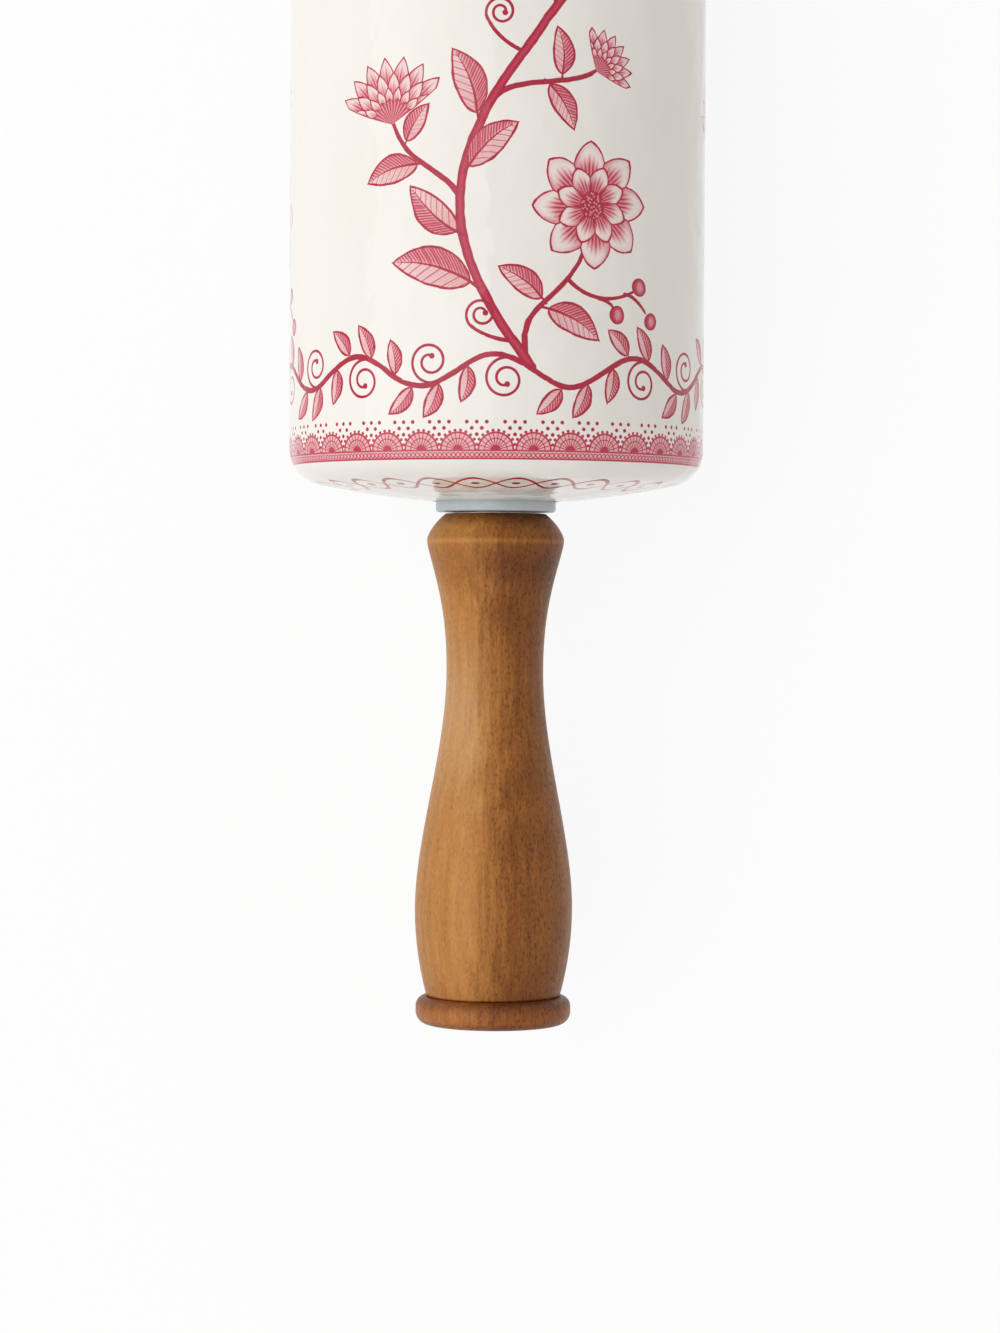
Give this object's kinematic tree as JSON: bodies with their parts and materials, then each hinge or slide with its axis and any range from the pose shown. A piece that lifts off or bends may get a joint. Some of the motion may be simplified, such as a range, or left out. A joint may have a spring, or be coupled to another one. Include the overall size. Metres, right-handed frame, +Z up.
{
  "type": "rolling pin",
  "caption": "Hollow glazed ceramic rolling pin: a crowned barrel spins on a steel rod in nylon bushings between turned wooden handles with bead end caps.",
  "frame": {"origin": "under the middle of the barrel, on the surface that the pin lies on", "axes": "+X along the pin from the left handle to the right one, +Z up from the surface"},
  "size_m": [0.4382, 0.07, 0.07],
  "materials": {
    "barrel_glaze": "gloss",
    "bushing_nylon": "satin",
    "handle_wood": "satin",
    "cap_wood": "satin",
    "steel": "satin"
  },
  "bodies": {
    "axle": {"axle_rod": "steel", "thrust_washer_left": "steel", "thrust_washer_right": "steel", "handle_left": "handle_wood", "handle_right": "handle_wood", "nut_washer_left": "steel", "nut_washer_right": "steel", "lock_nut_left": "steel", "lock_nut_right": "steel", "end_cap_left": "cap_wood", "end_cap_right": "cap_wood"},
    "roller": {"barrel": "barrel_glaze", "bushing_left": "bushing_nylon", "bushing_right": "bushing_nylon"}
  },
  "joints": [
    {"name": "barrel_spin", "type": "hinge", "parent": "axle", "child": "roller", "pos_m": [0, 0, 0.035], "axis": [1, 0, 0], "continuous": true}
  ]
}
